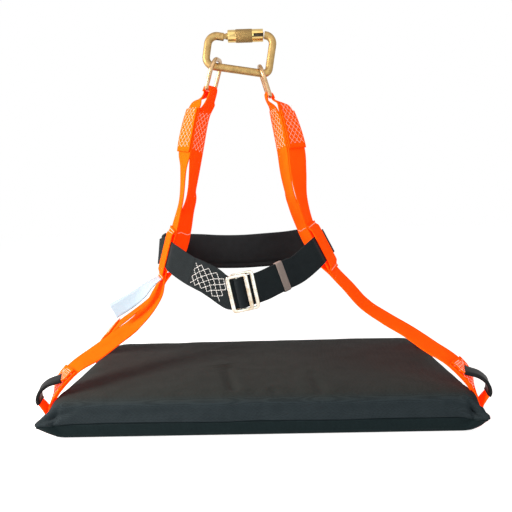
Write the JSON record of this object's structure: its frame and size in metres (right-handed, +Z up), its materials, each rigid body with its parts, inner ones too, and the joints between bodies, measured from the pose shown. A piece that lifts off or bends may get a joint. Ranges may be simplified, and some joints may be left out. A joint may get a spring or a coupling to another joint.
{
  "type": "bosun's chair",
  "caption": "Padded board seat hung by orange webbing straps from steel rings and a twist-lock karabiner, with a padded, buckled waist belt and sleeved tool loops.",
  "frame": {"origin": "middle of the seat's flat underside", "axes": "+X to the viewer's right along the seat, +Y to the back, +Z up"},
  "size_m": [0.652, 0.3146, 0.6002],
  "materials": {
    "plywood": "raw plywood",
    "foam": "open-cell foam",
    "cover_cloth": "black coated woven polyester",
    "orange_web": "woven polyester webbing with pale stitching",
    "black_web": "woven black polyester",
    "black_sleeve": "smooth flat tube",
    "label_cloth": "blank woven label",
    "elastic": "ribbed elastic",
    "yellow_zinc": "yellow passivated zinc on steel",
    "ring_zinc": "pale yellow zinc on steel",
    "bright_steel": "bright polished steel"
  },
  "bodies": {
    "chair": {"seat_board": "plywood", "seat_foam": "foam", "seat_cover_top": "cover_cloth", "seat_cover_base": "cover_cloth", "front_sling": "orange_web", "rear_sling": "orange_web", "strap_left": "orange_web", "strap_right": "orange_web", "eye_patch_left": "orange_web", "eye_patch_right": "orange_web", "belt_loop_left": "orange_web", "belt_loop_right": "orange_web", "tool_loop_left": "orange_web", "tool_loop_right": "orange_web", "tool_sleeve_left": "black_sleeve", "tool_sleeve_right": "black_sleeve", "care_label": "label_cloth", "belt_web": "black_web", "back_pad": "black_web", "buckle_female": "bright_steel"},
    "ring_l": {"ring_left": "ring_zinc"},
    "ring_r": {"ring_right": "ring_zinc"},
    "karabiner": {"karabiner_body": "yellow_zinc", "gate_pin": "bright_steel"},
    "gate": {"karabiner_gate": "yellow_zinc"},
    "lock": {"locking_sleeve": "yellow_zinc"},
    "keeper": {"belt_keeper": "elastic"},
    "buckle_front": {"buckle_male": "bright_steel", "buckle_bar": "bright_steel"}
  },
  "joints": [
    {"name": "ring_left_swing", "type": "hinge", "parent": "chair", "child": "ring_l", "pos_m": [-0.07081, 0.00312, 0.51098], "axis": [0.1505, 0.971, 0.186], "range_deg": [-5, 5]},
    {"name": "ring_right_swing", "type": "hinge", "parent": "chair", "child": "ring_r", "pos_m": [0.02375, 0.0051, 0.49858], "axis": [-0.0725, 0.9597, 0.2714], "range_deg": [0, 5]},
    {"name": "karabiner_swing", "type": "hinge", "parent": "chair", "child": "karabiner", "pos_m": [-0.02695, -0.005, 0.53843], "axis": [0.9848, 0, -0.1736], "range_deg": [-20, 40]},
    {"name": "gate_open", "type": "hinge", "parent": "karabiner", "child": "gate", "pos_m": [-0.0503, -0.005, 0.59028], "axis": [0, 1, 0], "range_deg": [0, 18], "stiffness_Nm_per_rad": 0.1},
    {"name": "lock_turn", "type": "hinge", "parent": "gate", "child": "lock", "pos_m": [-0.0503, -0.005, 0.59028], "axis": [1, 0, -0.007], "range_deg": [0, 90], "stiffness_Nm_per_rad": 0.02},
    {"name": "keeper_slide", "type": "slide", "parent": "chair", "child": "keeper", "axis": [0.8085, 0.5102, 0.2931], "range_m": [-0.01, 0.01]},
    {"name": "buckle_tilt", "type": "hinge", "parent": "chair", "child": "buckle_front", "pos_m": [-0.028, -0.0955, 0.193], "axis": [-0.1908, 0, 0.9816], "range_deg": [-3, 3]}
  ]
}
